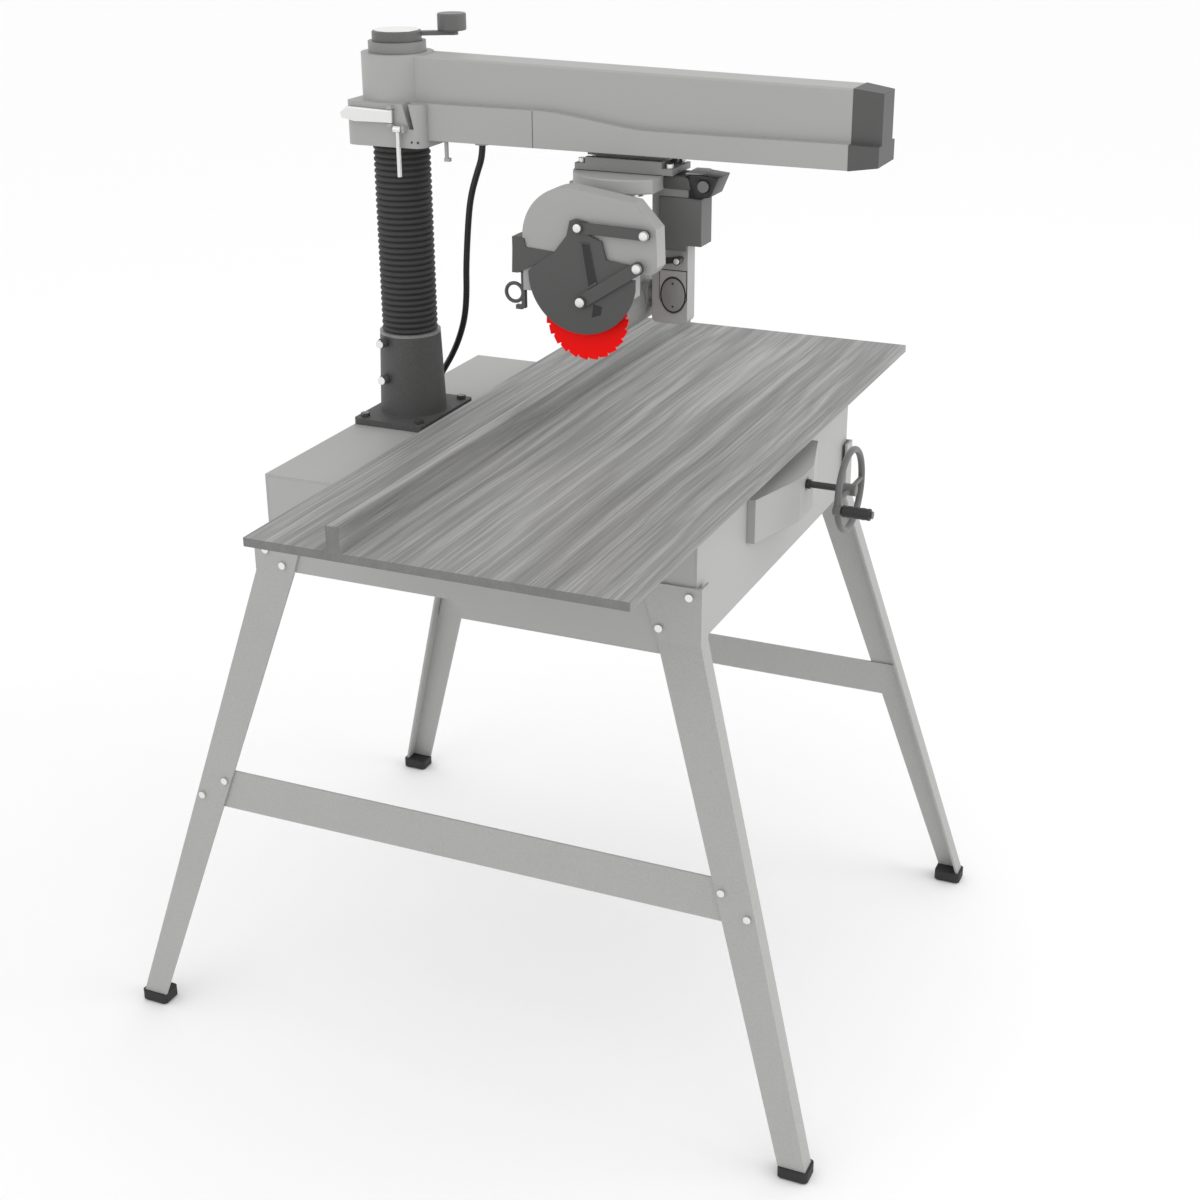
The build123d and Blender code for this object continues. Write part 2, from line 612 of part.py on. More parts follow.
# ---- motor, blade and guards ----
housing = rod_x(arbor_y, arbor_z, motor_left, motor_right, motor_r)
for s, y0, y1 in ((-1, yoke_leg_back - 47, arbor_y - motor_r + 8), (1, arbor_y + motor_r - 8, rear_leg_back - 1)):
    housing += rod_y(0, bevel_z, y0, y1, trunnion_r)
    edge = arbor_y + s * (motor_r - 6)
    tip = arbor_y + s * (motor_r + 3)
    housing += rod_y(0, bevel_z, min(edge, tip), max(edge, tip), 20)
housing -= rod_x(arbor_y, arbor_z, motor_left - 1, motor_right + 1, motor_r - motor_wall)
save("motor_housing", housing)
bells = []
for x0, x1 in ((motor_left - bell_long, motor_left), (motor_right, motor_right + bell_long)):
    bell = rod_x(arbor_y, arbor_z, x0, x1, motor_r)
    outer_face = x0 if x0 < 0 else x1
    bell = fillet(bell.edges().filter_by(lambda e: abs(e.center().X - outer_face) < 0.1), 5)
    inner_x = (x0 + 5, x1 + 1) if x0 < 0 else (x0 - 1, x1 - 5)
    bell -= rod_x(arbor_y, arbor_z, inner_x[0], inner_x[1], motor_r - motor_wall)
    bell += rod_x(arbor_y, arbor_z, x0 + (2 if x0 < 0 else 0), x1 - (0 if x0 < 0 else 2), bearing_r + 4)
    bell -= rod_x(arbor_y, arbor_z, x0 + (3 if x0 < 0 else -1), x1 + (1 if x0 < 0 else -3), bearing_r)
    bell -= rod_x(arbor_y, arbor_z, x0 - 1, x1 + 1, arbor_r + 2)
    bells.append(bell)
save("motor_bells", *bells)
races = [rod_x(arbor_y, arbor_z, x0, x0 + 9, bearing_r) - rod_x(arbor_y, arbor_z, x0 - 1, x0 + 10, arbor_r + run_fit)
         for x0 in (motor_left - 9, motor_right)]
save("motor_bearings", *races)
stator = rod_x(arbor_y, arbor_z, -45, 45, motor_r - motor_wall) - rod_x(arbor_y, arbor_z, -46, 46, rotor_r + 1)
save("stator", stator)
rotor = rod_x(arbor_y, arbor_z, blade_x - 12, motor_right + 8, arbor_r) + rod_x(arbor_y, arbor_z, -45, 45, rotor_r)
rotor += rod_x(arbor_y, arbor_z, 56, 62, 38)
for n in range(8):
    vane = Pos(0, arbor_y, arbor_z) * Rot(45 * n, 0, 0) * Pos(65, 0, 24) * Box(8, 2, 26)
    rotor += vane
save("rotor", rotor)

outline = []
for n in range(blade_teeth):
    a0 = math.radians(360 / blade_teeth * n)
    a1 = math.radians(360 / blade_teeth * (n + 0.72))
    a2 = math.radians(360 / blade_teeth * (n + 0.86))
    outline += [(arbor_y + blade_r * math.cos(a0), arbor_z + blade_r * math.sin(a0)),
                (arbor_y + (blade_r - 2.5) * math.cos(a1), arbor_z + (blade_r - 2.5) * math.sin(a1)),
                (arbor_y + (blade_r - blade_gullet) * math.cos(a2), arbor_z + (blade_r - blade_gullet) * math.sin(a2))]
blade = side_plate(outline, blade_x, blade_x + blade_thick) - rod_x(arbor_y, arbor_z, blade_x - 1, blade_x + 5, arbor_r)
save("saw_blade", blade)
inner_flange = rod_x(arbor_y, arbor_z, blade_x + blade_thick, blade_x + blade_thick + 5, flange_r)
outer_flange = rod_x(arbor_y, arbor_z, blade_x - 4, blade_x, flange_r)
nut = Pos(blade_x - 4, arbor_y, arbor_z) * Rot(0, -90, 0) * extrude(RegularPolygon(13, 6), 7)
fittings = [piece - rod_x(arbor_y, arbor_z, blade_x - 20, blade_x + 20, arbor_r) for piece in (inner_flange, outer_flange, nut)]
save("arbor_fittings", *fittings)

gy, gz = guard_centre
arc_points = [(gy + guard_r * math.cos(math.radians(a)), gz + guard_r * math.sin(math.radians(a))) for a in (0, 45, 90)]
guard_wire = [ThreePointArc(*arc_points), Line(arc_points[2], (-164, 1274)), Line((-164, 1274), (-196, 1240)),
              Line((-196, 1240), (-198, 1188)), Line((-198, 1188), (-190, 1178)), Line((-190, 1178), (-160, 1176)),
              Line((-160, 1176), (-160, 1140)), Line((-160, 1140), (arc_points[0][0], 1140)),
              Line((arc_points[0][0], 1140), arc_points[0])]
guard_face = Plane.YZ * make_face(guard_wire)
shell = Pos(guard_x, 0, 0) * extrude(guard_face, guard_in - guard_x)
hollow = Pos(guard_x + guard_wall, 0, 0) * extrude(Plane.YZ * offset(make_face(guard_wire), -guard_wall, kind=Kind.INTERSECTION), guard_in - guard_x - 2 * guard_wall)
shell -= hollow
shell -= block(guard_x + guard_wall, guard_in - guard_wall, -157, arc_points[0][0] - guard_wall, 1130, 1146)
shell -= rod_x(arbor_y, arbor_z, guard_x - 1, guard_in + 1, 34)
shell += rod_x(arbor_y, arbor_z, guard_in, motor_left - bell_long, 40) - rod_x(arbor_y, arbor_z, guard_in - 1, guard_in + 30, 34)
for at in (upper_pivot, lower_pivot):
    shell += rod_x(*at, lower_guard_x - 6.5, guard_x + 1, link_pin_r) + rod_x(*at, lower_guard_x - 9.5, lower_guard_x - 6.5, link_pin_r + 3)
save("upper_guard", shell)
wing = side_plate([(18, 1214), (1, 1213), (-2, 1201), (-44, 1198), (-39, 1189), (11, 1164), (20, 1164)],
                  guard_x - 3 + gap, guard_x)
spout = block(guard_x, guard_in, 4.3, 20, 1164, 1214) - block(guard_x + 3, guard_in - 3, 7.3, 21, 1167, 1211)
save("dust_spout", wing + spout)
pawl_rod = block(guard_x + 5, guard_x + 12, 4.3, 10, 1112, 1164) + block(guard_x + 5, guard_x + 12, 9, 19, 1110, 1116)
pawl_ring = Pos(guard_x + 8.5, 22, 1133) * Rot(0, 90, 0) * Rot(0, 0, 30) * Torus(13, 2.6)
save("pawl_rod", pawl_rod + pawl_ring)

lx = lower_guard_x
ly, lz = lower_guard_centre
web = [(-71, 1244), (-80, 1247), (-97, 1244), (-100, 1226), (-118, 1219), (-125, 1194), (-160, 1190),
       (-160, 1140), (-20, 1140), (-9, 1172), (-47, 1199), (-66, 1223)]
lower_guard = rod_x(ly, lz, lx, lx + lower_guard_t, lower_guard_r) & block(lx - 1, lx + 9, -168, 10, 1060, 1170)
lower_guard += side_plate(web, lx, lx + lower_guard_t)
lower_guard -= rod_x(*upper_pin, lx - 1, lx + 9, link_pin_r + run_fit)
lower_guard += rod_x(*lower_pin, lx - 1.5, lx, 9)
rib_a = side_plate([(-86, 1216), (-100, 1216), (-112, 1160), (-98, 1152)], lx - 1.2, lx)
lower_guard += rib_a
lower_guard += rod_x(*lower_pin, lx - 6, lx, link_pin_r) + rod_x(*lower_pin, lx - 8.5, lx - 5.6, link_pin_r + 4)
save("lower_guard", lower_guard)
upper_link = bar_between(upper_pivot, upper_pin, link_half, lx - 0.5 - link_t, lx - 0.5)
upper_link += rod_x(*upper_pin, lx - 0.6, lx + lower_guard_t, link_pin_r)
upper_link += rod_x(*upper_pin, lx - link_t - 4, lx - link_t, link_pin_r + 3)
upper_link -= rod_x(*upper_pivot, lx - 8, lx + 1, link_pin_r + run_fit)
save("upper_link", upper_link)
slot_r = link_pin_r + link_play
lower_link = bar_between(lower_pivot, lower_pin, link_half + 1.5, lx - 2.0 - link_t, lx - 2.0)
lower_link -= rod_x(*lower_pivot, lx - 8, lx + 1, link_pin_r + run_fit)
lower_link -= rod_x(*lower_pin, lx - 8, lx + 1, slot_r)
save("lower_link", lower_link)

# ---- arm latch and clamp ----
latch = side_plate([(243, 1346), (243, 1364), (312, 1366), (324, 1357), (322, 1349), (300, 1345)],
                   latch_x - 9, latch_x)
latch = fillet(latch.edges().filter_by(lambda e: e.center().X < latch_x - 8.9), 2)
latch += rod_z(latch_x - 4.5, 243, 1346, 1364, 4.5)
latch -= rod_z(latch_x - 4.5, 243, 1330, 1380, 2.5 + run_fit)
save("arm_latch", latch)
clamp = rod_z(latch_x - 7, 230, 1270, 1336, 3.2) + rod_y(latch_x - 7, 1338, 224, 236, 5)
clamp -= rod_y(latch_x - 7, 1338, 220, 240, 2.5 + run_fit)
save("arm_clamp", clamp)

# ---- top crank ----
turn = math.radians(-90 + crank_angle)
kx, ky = crank_r * math.cos(turn), column_y + crank_r * math.sin(turn)
disc_low = ring_top + gap
crank = rod_z(0, column_y, disc_low, disc_low + crank_disc_t, crank_disc_r)
crank = chamfer(crank.edges().group_by(Axis.Z)[-1], 1.5)
crank += rod_z(0, column_y, arm_back_top + 2, disc_low + 1, screw_r + 1 - run_fit)
crank += Pos(0, column_y, 1100) * extrude(RegularPolygon(hex_r, 6), arm_back_top + 3 - 1100)
crank += Pos(0, column_y, disc_low + crank_disc_t - 5) * Rot(0, 0, -90 + crank_angle) * Pos(crank_r / 2 + 14, 0, 0) * Box(crank_r - 20, 14, 6)
crank += rod_z(kx, ky, disc_low + crank_disc_t - 8, disc_low + crank_disc_t - 2, 9)
crank += rod_z(kx, ky, disc_low + crank_disc_t - 8, disc_low + crank_disc_t + 20, 4)
save("top_crank", crank)
knob_low = disc_low + crank_disc_t - 1.7
knob = rod_z(kx, ky, knob_low, knob_low + crank_knob_t + 3, crank_knob_r)
knob = fillet(knob.edges(), 2)
knob -= rod_z(kx, ky, knob_low - 1, disc_low + crank_disc_t + 20.3, 4 + run_fit)
save("crank_knob", knob)

# ---- cable ----
upper_route = [(0, 129, 1320), (0, 129, 1297), (4, 142, 1268), (9, 155, 1236), (15, 164, 1200), (22, 171, 1162)]
lower_route = [(22, 171, 1162), (29.37, 178.37, 1122), (37, 183, 1080), (46, 192, 1040), (57, 208, 1004),
               (70, 228, 972), (84, 250, 944), (95, 269, 920), (99, 279, 902), (100, 281, 889)]
save("cable_upper", cable(upper_route))
save("cable_lower", cable(lower_route))
print("built")
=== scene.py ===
import math
import bpy
from mathutils import Matrix, Vector


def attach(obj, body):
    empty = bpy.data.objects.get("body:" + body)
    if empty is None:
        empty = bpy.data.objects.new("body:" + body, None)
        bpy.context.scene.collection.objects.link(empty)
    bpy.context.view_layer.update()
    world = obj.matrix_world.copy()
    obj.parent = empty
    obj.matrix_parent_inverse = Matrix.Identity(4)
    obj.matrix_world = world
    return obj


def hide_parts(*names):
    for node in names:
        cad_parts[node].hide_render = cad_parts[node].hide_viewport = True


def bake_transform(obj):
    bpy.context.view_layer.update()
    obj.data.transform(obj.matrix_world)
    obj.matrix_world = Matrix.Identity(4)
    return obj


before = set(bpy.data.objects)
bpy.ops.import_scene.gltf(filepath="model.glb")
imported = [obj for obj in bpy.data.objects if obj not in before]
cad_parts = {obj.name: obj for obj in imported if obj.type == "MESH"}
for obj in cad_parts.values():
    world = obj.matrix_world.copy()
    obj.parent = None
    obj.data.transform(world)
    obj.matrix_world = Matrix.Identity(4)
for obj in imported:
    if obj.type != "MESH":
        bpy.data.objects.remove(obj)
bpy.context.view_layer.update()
print("frame loaded")


# small helpers

def deselectAll():
    if bpy.context.object and bpy.context.object.mode != "OBJECT":
        bpy.ops.object.mode_set(mode="OBJECT")
    bpy.ops.object.select_all(action="DESELECT")


def makeActive(piece):
    deselectAll()
    piece.select_set(True)
    bpy.context.view_layer.objects.active = piece


def settle(piece):
    # leaves the object at the origin, with its place in its mesh
    makeActive(piece)
    bpy.ops.object.transform_apply(location=True, rotation=True, scale=True)
    return piece


def addRod(name, centre, radius, length, axis, vertices=48):
    deselectAll()
    turn = {"x": (0, math.pi / 2, 0), "y": (math.pi / 2, 0, 0), "z": (0, 0, 0)}[axis]
    bpy.ops.mesh.primitive_cylinder_add(vertices=vertices, radius=radius, depth=length,
                                        location=centre, rotation=turn)
    piece = bpy.context.object
    piece.name = name
    return settle(piece)


def addBlock(name, low, high):
    deselectAll()
    low, high = Vector(low), Vector(high)
    bpy.ops.mesh.primitive_cube_add(size=1, location=(low + high) / 2)
    piece = bpy.context.object
    piece.name = name
    piece.scale = high - low
    return settle(piece)


def applyAll(piece):
    makeActive(piece)
    for modifier in list(piece.modifiers):
        bpy.ops.object.modifier_apply(modifier=modifier.name)
    return piece


def roundEdges(piece, width, segments=3, angle=30):
    bevel = piece.modifiers.new("roundEdges", "BEVEL")
    bevel.width = width
    bevel.segments = segments
    bevel.limit_method = "ANGLE"
    bevel.angle_limit = math.radians(angle)
    return applyAll(piece)


def smooth(piece, angle=35):
    makeActive(piece)
    bpy.ops.object.shade_smooth_by_angle(angle=math.radians(angle))
    return piece


def joinPieces(name, pieces):
    deselectAll()
    for piece in pieces:
        piece.select_set(True)
    bpy.context.view_layer.objects.active = pieces[0]
    bpy.ops.object.join()
    pieces[0].name = name
    return pieces[0]


def cutWith(piece, cutter):
    makeActive(piece)
    modifier = piece.modifiers.new("cut", "BOOLEAN")
    modifier.object = cutter
    modifier.operation = "DIFFERENCE"
    modifier.solver = "EXACT"
    bpy.ops.object.modifier_apply(modifier=modifier.name)
    deselectAll()
    cutter.select_set(True)
    bpy.ops.object.delete()
    return piece


def selectFaces(piece, test):
    # enters edit mode with only the faces that pass the test selected
    makeActive(piece)
    bpy.ops.object.mode_set(mode="EDIT")
    bpy.ops.mesh.select_mode(type="FACE")
    bpy.ops.mesh.select_all(action="DESELECT")
    bpy.ops.object.mode_set(mode="OBJECT")
    for face in piece.data.polygons:
        face.select = bool(test(face))
    bpy.ops.object.mode_set(mode="EDIT")


def selectPoints(piece, test):
    makeActive(piece)
    bpy.ops.object.mode_set(mode="EDIT")
    bpy.ops.mesh.select_mode(type="VERT")
    bpy.ops.mesh.select_all(action="DESELECT")
    bpy.ops.object.mode_set(mode="OBJECT")
    for point in piece.data.vertices:
        point.select = bool(test(point.co))
    bpy.ops.object.mode_set(mode="EDIT")


def leaveEdit():
    bpy.ops.object.mode_set(mode="OBJECT")


def editAll(piece):
    # enters edit mode with everything selected
    makeActive(piece)
    bpy.ops.object.mode_set(mode="EDIT")
    bpy.ops.mesh.select_all(action="SELECT")


def faceOutwards(piece):
    editAll(piece)
    bpy.ops.mesh.normals_make_consistent(inside=False)
    leaveEdit()


def moveTo(piece, shift):
    piece.location = shift
    return settle(piece)


def stretchZ(piece, factor, level):
    editAll(piece)
    bpy.ops.transform.resize(value=(1, 1, factor), center_override=(0, 0, level))
    leaveEdit()


# shared effects

def newGroup(name, inputs, outputs):
    group = bpy.data.node_groups.new(name, "ShaderNodeTree")
    for label, kind, value in inputs:
        socket = group.interface.new_socket(name=label, in_out="INPUT", socket_type=kind)
        if value is not None:
            socket.default_value = value
    for label, kind in outputs:
        group.interface.new_socket(name=label, in_out="OUTPUT", socket_type=kind)
    entry = group.nodes.new("NodeGroupInput")
    leave = group.nodes.new("NodeGroupOutput")
    return group, entry, leave


def addNode(tree, kind, settings=None, values=None):
    node = tree.nodes.new(kind)
    for key, value in (settings or {}).items():
        setattr(node, key, value)
    for key, value in (values or {}).items():
        node.inputs[key].default_value = value
    return node


def makeCoatSpeckle():
    # fine grain of a powder coat: two colours mixed by small noise, dirt by large noise
    group, entry, leave = newGroup("coatSpeckle", [
        ("Light", "NodeSocketColor", (0.6, 0.6, 0.6, 1)), ("Dark", "NodeSocketColor", (0.5, 0.5, 0.5, 1)),
        ("Grain Scale", "NodeSocketFloat", 900.0), ("Cloud Scale", "NodeSocketFloat", 6.0),
        ("Low Rough", "NodeSocketFloat", 0.4), ("High Rough", "NodeSocketFloat", 0.55)],
        [("Color", "NodeSocketColor"), ("Roughness", "NodeSocketFloat"), ("Height", "NodeSocketFloat")])
    place = addNode(group, "ShaderNodeTexCoord")
    grain = addNode(group, "ShaderNodeTexNoise", values={"Detail": 2.0, "Roughness": 0.6})
    cloud = addNode(group, "ShaderNodeTexNoise", values={"Detail": 3.0, "Roughness": 0.5})
    grainRange = addNode(group, "ShaderNodeMapRange", values={"From Min": 0.3, "From Max": 0.7})
    mixAmount = addNode(group, "ShaderNodeMath", {"operation": "MULTIPLY_ADD"}, {1: 0.55})
    cloudPart = addNode(group, "ShaderNodeMath", {"operation": "MULTIPLY"}, {1: 0.45})
    colours = addNode(group, "ShaderNodeMix", {"data_type": "RGBA"})
    rough = addNode(group, "ShaderNodeMapRange")
    link = group.links.new
    link(place.outputs["Object"], grain.inputs["Vector"])
    link(place.outputs["Object"], cloud.inputs["Vector"])
    link(entry.outputs["Grain Scale"], grain.inputs["Scale"])
    link(entry.outputs["Cloud Scale"], cloud.inputs["Scale"])
    link(grain.outputs["Fac"], grainRange.inputs["Value"])
    link(cloud.outputs["Fac"], cloudPart.inputs[0])
    link(grainRange.outputs[0], mixAmount.inputs[0])
    link(cloudPart.outputs[0], mixAmount.inputs[2])
    link(mixAmount.outputs[0], colours.inputs["Factor"])
    link(entry.outputs["Dark"], colours.inputs["A"])
    link(entry.outputs["Light"], colours.inputs["B"])
    link(cloud.outputs["Fac"], rough.inputs["Value"])
    link(entry.outputs["Low Rough"], rough.inputs["To Min"])
    link(entry.outputs["High Rough"], rough.inputs["To Max"])
    link(colours.outputs["Result"], leave.inputs["Color"])
    link(rough.outputs[0], leave.inputs["Roughness"])
    link(grain.outputs["Fac"], leave.inputs["Height"])
    return group


def makeBoardGrain():
    # streaks that run along X, as on a sawn board
    group, entry, leave = newGroup("boardGrain", [
        ("Light", "NodeSocketColor", (0.5, 0.5, 0.5, 1)), ("Middle", "NodeSocketColor", (0.3, 0.3, 0.3, 1)),
        ("Dark", "NodeSocketColor", (0.15, 0.15, 0.15, 1)), ("End", "NodeSocketColor", (0.2, 0.2, 0.2, 1)),
        ("Shift", "NodeSocketVector", None)],
        [("Color", "NodeSocketColor"), ("Roughness", "NodeSocketFloat"), ("Height", "NodeSocketFloat")])
    place = addNode(group, "ShaderNodeTexCoord")
    moved = addNode(group, "ShaderNodeVectorMath", {"operation": "ADD"})
    stretch = addNode(group, "ShaderNodeMapping", values={"Scale": (0.55, 30.0, 30.0)})
    warp = addNode(group, "ShaderNodeTexNoise", values={"Scale": 2.2, "Detail": 2.0})
    warped = addNode(group, "ShaderNodeVectorMath", {"operation": "MULTIPLY_ADD"}, {1: (0.0, 1.1, 1.1)})
    broad = addNode(group, "ShaderNodeTexNoise", values={"Scale": 1.6, "Detail": 6.0, "Roughness": 0.62})
    fineMap = addNode(group, "ShaderNodeMapping", values={"Scale": (2.0, 170.0, 170.0)})
    fine = addNode(group, "ShaderNodeTexNoise", values={"Scale": 1.5, "Detail": 4.0, "Roughness": 0.7})
    both = addNode(group, "ShaderNodeMath", {"operation": "MULTIPLY_ADD"}, {1: 0.6})
    finePart = addNode(group, "ShaderNodeMath", {"operation": "MULTIPLY"}, {1: 0.4})
    spread = addNode(group, "ShaderNodeMapRange", values={"From Min": 0.30, "From Max": 0.70})
    lowMix = addNode(group, "ShaderNodeMix", {"data_type": "RGBA"})
    highMix = addNode(group, "ShaderNodeMix", {"data_type": "RGBA"})
    lowPart = addNode(group, "ShaderNodeMapRange", values={"From Min": 0.0, "From Max": 0.5})
    highPart = addNode(group, "ShaderNodeMapRange", values={"From Min": 0.5, "From Max": 1.0})
    rough = addNode(group, "ShaderNodeMapRange", values={"To Min": 0.62, "To Max": 0.42})
    link = group.links.new
    link(place.outputs["Object"], moved.inputs[0])
    link(entry.outputs["Shift"], moved.inputs[1])
    link(moved.outputs[0], stretch.inputs["Vector"])
    link(moved.outputs[0], fineMap.inputs["Vector"])
    link(moved.outputs[0], warp.inputs["Vector"])
    link(warp.outputs["Color"], warped.inputs[0])
    link(stretch.outputs[0], warped.inputs[2])
    link(warped.outputs[0], broad.inputs["Vector"])
    link(fineMap.outputs[0], fine.inputs["Vector"])
    link(fine.outputs["Fac"], finePart.inputs[0])
    link(broad.outputs["Fac"], both.inputs[0])
    link(finePart.outputs[0], both.inputs[2])
    link(both.outputs[0], spread.inputs["Value"])
    link(spread.outputs[0], lowPart.inputs["Value"])
    link(spread.outputs[0], highPart.inputs["Value"])
    link(lowPart.outputs[0], lowMix.inputs["Factor"])
    link(highPart.outputs[0], highMix.inputs["Factor"])
    link(entry.outputs["Dark"], lowMix.inputs["A"])
    link(entry.outputs["Middle"], lowMix.inputs["B"])
    link(lowMix.outputs["Result"], highMix.inputs["A"])
    link(entry.outputs["Light"], highMix.inputs["B"])
    link(spread.outputs[0], rough.inputs["Value"])
    # sawn ends show no streaks
    facing = addNode(group, "ShaderNodeSeparateXYZ")
    endFace = addNode(group, "ShaderNodeMath", {"operation": "ABSOLUTE"})
    endMask = addNode(group, "ShaderNodeMath", {"operation": "MULTIPLY"}, {1: 0.85})
    endMix = addNode(group, "ShaderNodeMix", {"data_type": "RGBA"})
    link(place.outputs["Normal"], facing.inputs[0])
    link(facing.outputs["X"], endFace.inputs[0])
    link(endFace.outputs[0], endMask.inputs[0])
    link(endMask.outputs[0], endMix.inputs["Factor"])
    link(highMix.outputs["Result"], endMix.inputs["A"])
    link(entry.outputs["End"], endMix.inputs["B"])
    link(endMix.outputs["Result"], leave.inputs["Color"])
    link(rough.outputs[0], leave.inputs["Roughness"])
    link(both.outputs[0], leave.inputs["Height"])
    return group


coatSpeckle = makeCoatSpeckle()
boardGrain = makeBoardGrain()


def grey(level):
    # a neutral colour from a display level of 0 to 255
    value = level / 255
    linear = value / 12.92 if value <= 0.04045 else ((value + 0.055) / 1.055) ** 2.4
    return (linear, linear, linear * 0.985, 1)


roughSpread = 0.07


def coated(name, look):
    material = bpy.data.materials.new(name)
    material.use_nodes = True
    tree = material.node_tree
    shader = tree.nodes["Principled BSDF"]
    grain = addNode(tree, "ShaderNodeGroup", {"node_tree": coatSpeckle})
    grain.inputs["Light"].default_value = look["light"]
    grain.inputs["Dark"].default_value = look["dark"]
    grain.inputs["Grain Scale"].default_value = look.get("grainScale", 900.0)
    grain.inputs["Low Rough"].default_value = look["rough"] - roughSpread
    grain.inputs["High Rough"].default_value = look["rough"] + roughSpread
    bump = addNode(tree, "ShaderNodeBump", values={"Strength": look.get("bump", 0.08), "Distance": 0.0006})
    shader.inputs["Metallic"].default_value = look.get("metallic", 0.0)
    shader.inputs["Specular IOR Level"].default_value = look.get("specular", 0.5)
    tree.links.new(grain.outputs["Color"], shader.inputs["Base Color"])
    tree.links.new(grain.outputs["Roughness"], shader.inputs["Roughness"])
    tree.links.new(grain.outputs["Height"], bump.inputs["Height"])
    if look.get("softEdge"):
        soft = addNode(tree, "ShaderNodeBevel", {"samples": 4}, {"Radius": look["softEdge"]})
        tree.links.new(soft.outputs[0], bump.inputs["Normal"])
    tree.links.new(bump.outputs[0], shader.inputs["Normal"])
    return material


def wooden(name, look):
    material = bpy.data.materials.new(name)
    material.use_nodes = True
    tree = material.node_tree
    shader = tree.nodes["Principled BSDF"]
    grain = addNode(tree, "ShaderNodeGroup", {"node_tree": boardGrain})
    grain.inputs["Light"].default_value = look["light"]
    grain.inputs["Middle"].default_value = look["middle"]
    grain.inputs["Dark"].default_value = look["dark"]
    grain.inputs["End"].default_value = look["end"]
    grain.inputs["Shift"].default_value = look["shift"]
    bump = addNode(tree, "ShaderNodeBump", values={"Strength": 0.12, "Distance": 0.001})
    tree.links.new(grain.outputs["Color"], shader.inputs["Base Color"])
    tree.links.new(grain.outputs["Roughness"], shader.inputs["Roughness"])
    tree.links.new(grain.outputs["Height"], bump.inputs["Height"])
    tree.links.new(bump.outputs[0], shader.inputs["Normal"])
    return material


looks = {
    "lightPaint": {"light": grey(169), "dark": grey(160), "rough": 0.5, "bump": 0.05, "softEdge": 0.0015},
    "legPaint": {"light": grey(174), "dark": grey(156), "rough": 0.55, "bump": 0.10, "grainScale": 420.0},
    "darkCasting": {"light": grey(84), "dark": grey(67), "rough": 0.6, "bump": 0.3, "grainScale": 380.0,
                    "softEdge": 0.0012},
    "darkGuard": {"light": grey(82), "dark": grey(72), "rough": 0.5, "bump": 0.08, "softEdge": 0.0008},
    "darkPlastic": {"light": grey(84), "dark": grey(74), "rough": 0.55, "bump": 0.12, "softEdge": 0.0015},
    "switchPlastic": {"light": grey(106), "dark": grey(94), "rough": 0.55, "bump": 0.12, "softEdge": 0.0015},
    "greyCasting": {"light": grey(140), "dark": grey(124), "rough": 0.45, "bump": 0.1, "softEdge": 0.001},
    "brightSteel": {"light": grey(236), "dark": grey(218), "rough": 0.22, "metallic": 1.0,
                    "softEdge": 0.0008},
    "machinedSteel": {"light": grey(190), "dark": grey(168), "rough": 0.32, "metallic": 1.0},
    "greyMetal": {"light": grey(120), "dark": grey(100), "rough": 0.4, "metallic": 0.7},
    "ironStack": {"light": grey(110), "dark": grey(84), "rough": 0.6, "metallic": 0.8},
    "blackRubber": {"light": grey(46), "dark": grey(34), "rough": 0.75, "bump": 0.2, "softEdge": 0.001},
    "bellowsRubber": {"light": grey(60), "dark": grey(50), "rough": 0.7, "bump": 0.15},
    "cableSheath": {"light": grey(34), "dark": grey(24), "rough": 0.5},
    "blackPlastic": {"light": grey(36), "dark": grey(26), "rough": 0.4, "bump": 0.1, "softEdge": 0.001},
    "buttonGrey": {"light": grey(120), "dark": grey(104), "rough": 0.4},
    "darkSteel": {"light": grey(70), "dark": grey(52), "rough": 0.4, "metallic": 0.5},
    "shadowPaint": {"light": grey(44), "dark": grey(34), "rough": 0.6},
    "pinSteel": {"light": grey(238), "dark": grey(224), "rough": 0.35, "metallic": 0.6,
                 "softEdge": 0.0008},
    "wheelMetal": {"light": grey(104), "dark": grey(86), "rough": 0.42, "bump": 0.06, "softEdge": 0.001},
    "redBlade": {"light": (1.0, 0.003, 0.0015, 1), "dark": (0.94, 0.002, 0.001, 1), "rough": 0.5,
                 "bump": 0.04, "specular": 0.15},
}
finishes = {name: coated(name, look) for name, look in looks.items()}
boardLook = {"light": grey(182), "middle": grey(136), "dark": grey(94), "end": grey(108)}
for number, name in enumerate(("frontBoardWood", "fenceWood", "rearBoardWood")):
    finishes[name] = wooden(name, {**boardLook, "shift": (0.37 * number, 0.71 * number, 0.23 * number)})

boltLook = {"plateTop": 0.92, "plateGrey": 70}


def columnBoltSteel(look):
    # bright above the base plate, black like the plate at its four corners
    material = finishes["brightSteel"].copy()
    material.name = "columnBoltSteel"
    tree = material.node_tree
    shader = tree.nodes["Principled BSDF"]
    place = addNode(tree, "ShaderNodeTexCoord")
    parts = addNode(tree, "ShaderNodeSeparateXYZ")
    above = addNode(tree, "ShaderNodeMath", {"operation": "GREATER_THAN"}, {1: look["plateTop"]})
    colours = addNode(tree, "ShaderNodeMix", {"data_type": "RGBA"})
    colours.inputs["A"].default_value = grey(look["plateGrey"])
    grain = [node for node in tree.nodes if node.type == "GROUP"][0]
    tree.links.new(place.outputs["Object"], parts.inputs[0])
    tree.links.new(parts.outputs["Z"], above.inputs[0])
    tree.links.new(above.outputs[0], colours.inputs["Factor"])
    tree.links.new(above.outputs[0], shader.inputs["Metallic"])
    tree.links.new(grain.outputs["Color"], colours.inputs["B"])
    tree.links.new(colours.outputs["Result"], shader.inputs["Base Color"])
    return material


finishes["columnBoltSteel"] = columnBoltSteel(boltLook)

